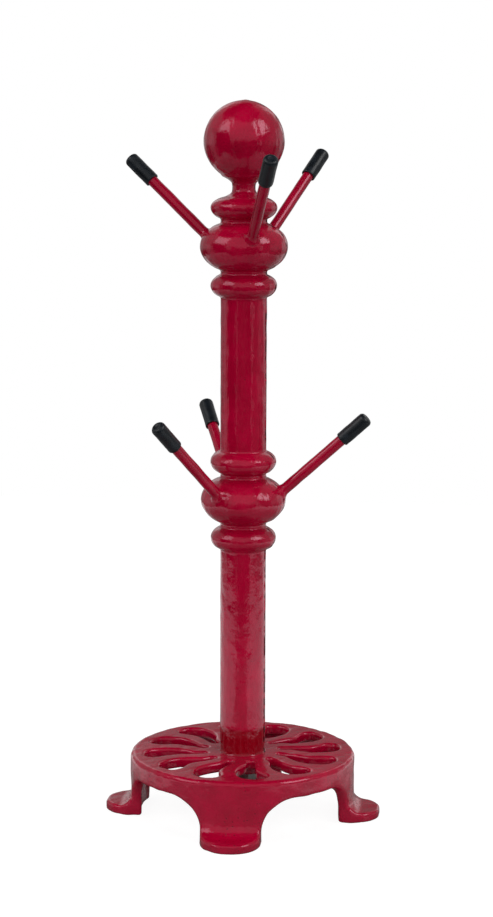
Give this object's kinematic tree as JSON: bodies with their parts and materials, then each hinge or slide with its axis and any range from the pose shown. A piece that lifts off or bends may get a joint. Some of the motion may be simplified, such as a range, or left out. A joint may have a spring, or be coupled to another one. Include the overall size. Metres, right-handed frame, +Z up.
{
  "type": "mug tree",
  "caption": "Free-standing cast mug tree: beaded column with a ball top on a pierced round base with splayed feet, and two tiers of sloping rods with soft end caps.",
  "frame": {"origin": "on the floor under the column's axis, at the centre of the four feet", "axes": "+Z up along the column, the feet point along +X, +Y, -X and -Y"},
  "size_m": [0.153, 0.153, 0.3922],
  "materials": {
    "enamelled_casting": "glossy crimson enamel over an uneven sand casting",
    "painted_rod": "glossy crimson enamel over drawn steel rod",
    "vinyl_cap": "satin black soft vinyl",
    "plated_steel": "bright zinc plate"
  },
  "bodies": {
    "root": {"base_casting": "enamelled_casting", "column_casting": "enamelled_casting", "column_screw": "plated_steel", "screw_washer": "plated_steel", "upper_rod_1": "painted_rod", "upper_cap_1": "vinyl_cap", "upper_rod_2": "painted_rod", "upper_cap_2": "vinyl_cap", "upper_rod_3": "painted_rod", "upper_cap_3": "vinyl_cap", "lower_rod_1": "painted_rod", "lower_cap_1": "vinyl_cap", "lower_rod_2": "painted_rod", "lower_cap_2": "vinyl_cap", "lower_rod_3": "painted_rod", "lower_cap_3": "vinyl_cap"}
  },
  "joints": []
}
